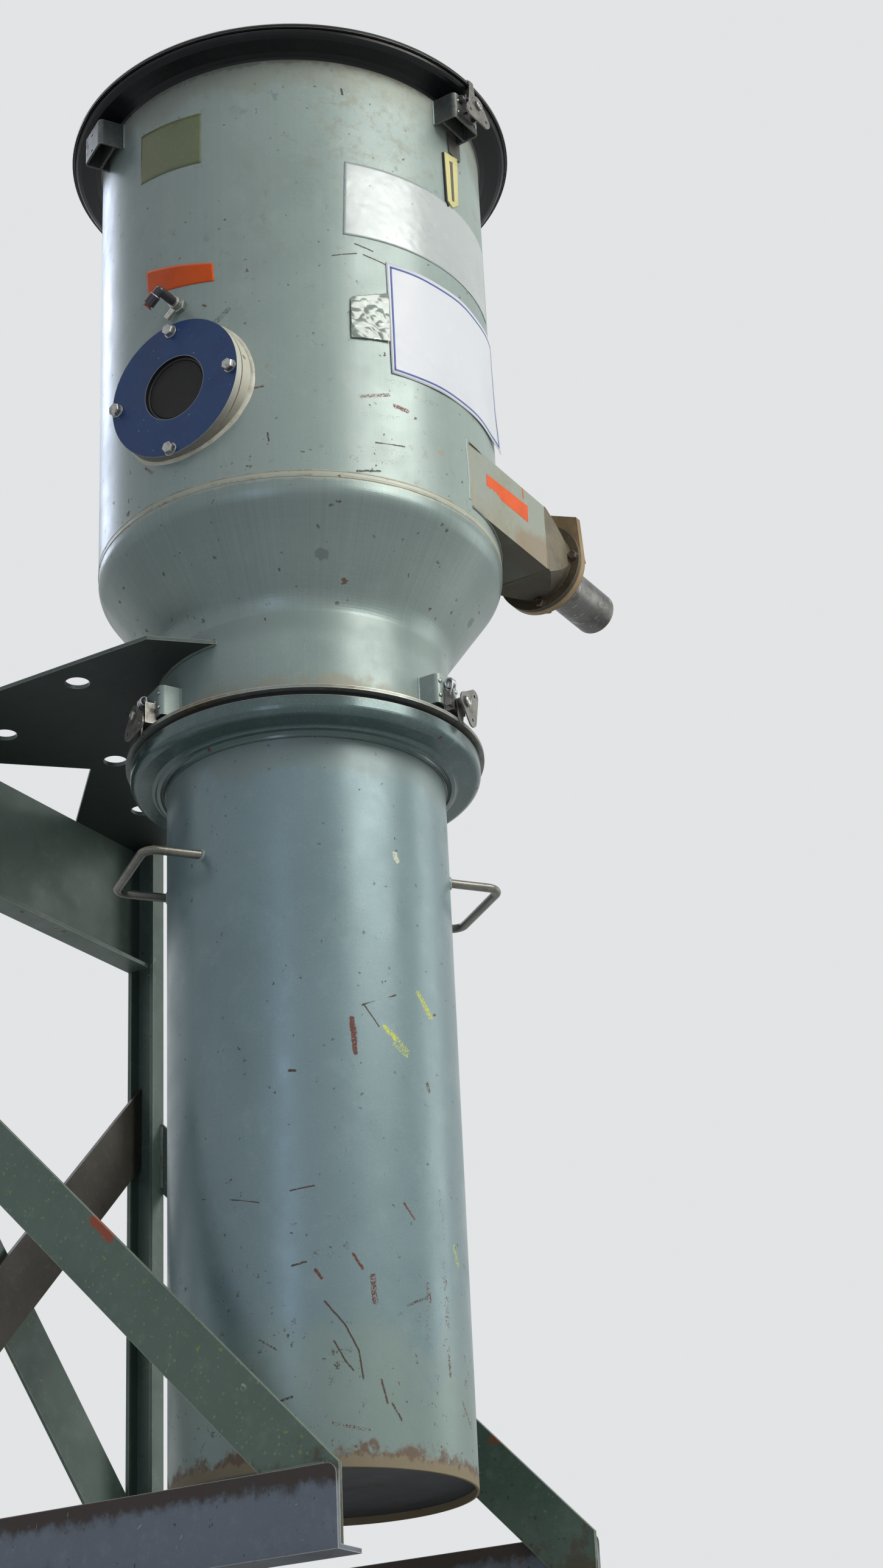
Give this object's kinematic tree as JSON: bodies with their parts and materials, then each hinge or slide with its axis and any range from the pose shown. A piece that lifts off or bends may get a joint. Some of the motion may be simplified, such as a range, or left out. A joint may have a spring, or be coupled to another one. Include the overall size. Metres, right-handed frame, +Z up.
{
  "type": "cyclone separator",
  "caption": "Cyclone separator for vacuum conveying: upper chamber with lid, sight port and tangential inlet, cone, latched dust can with handles, on a steel floor stand.",
  "frame": {"origin": "centre of the underside of the dust can's bottom plate, on the vessel's axis", "axes": "+Z up, -Y to the front, +X the way the inlet tube points"},
  "size_m": [0.8485, 0.9242, 2.292],
  "materials": {
    "lid_paint": "satin",
    "gasket": "matte",
    "rim_paint": "satin",
    "vessel_paint": "satin metallic",
    "cone_paint": "satin metallic over spinning marks",
    "flange_steel": "worn, rusty edge",
    "rolled_rim_paint": "satin metallic",
    "can_paint": "satin metallic, chipped",
    "can_underside": "dull",
    "handle_steel": "worn",
    "bracket_paint": "satin",
    "latch_steel": "zinc plated, aged",
    "port_gasket": "dark red rubber, matte",
    "port_blue": "satin",
    "port_glass": "dark behind clear sheet",
    "nipple_metal": "nickel plated",
    "elbow_plastic": "black",
    "inlet_paint": "satin, dusty brown",
    "inlet_flange": "dull brown",
    "inlet_plate": "matte tan",
    "tube_steel": "dull",
    "plate_paint": "satin",
    "stand_paint": "satin",
    "rail_paint": "rusty",
    "brace_paint": "green, specked",
    "rear_brace_dark": "dull"
  },
  "bodies": {
    "root": {"lid": "lid_paint", "lid_gasket": "gasket", "body_rim": "rim_paint", "body_shell": "vessel_paint", "cone": "cone_paint", "neck": "cone_paint", "neck_flange": "flange_steel", "can_gasket": "gasket", "can_rim": "rolled_rim_paint", "can_shell": "can_paint", "can_bottom": "can_underside", "can_handle_left": "handle_steel", "can_handle_right": "handle_steel", "lid_latch_brackets": "bracket_paint", "lid_latches": "latch_steel", "neck_latch_brackets": "bracket_paint", "neck_latches": "latch_steel", "port_stub": "vessel_paint", "port_gasket": "port_gasket", "port_cover": "port_blue", "port_window": "port_glass", "air_nipple": "nipple_metal", "air_elbow": "elbow_plastic", "inlet_duct": "inlet_paint", "inlet_reducer": "inlet_paint", "inlet_flange": "inlet_flange", "inlet_plate": "inlet_plate", "inlet_tube": "tube_steel", "mounting_plate": "plate_paint", "cross_plate": "plate_paint", "column_left": "stand_paint", "column_right": "stand_paint", "rail_left": "rail_paint", "rail_right": "rail_paint", "brace_left": "brace_paint", "brace_right": "brace_paint", "rear_brace_front": "rear_brace_dark", "rear_brace_back": "stand_paint", "rear_base_angle": "stand_paint"}
  },
  "joints": []
}
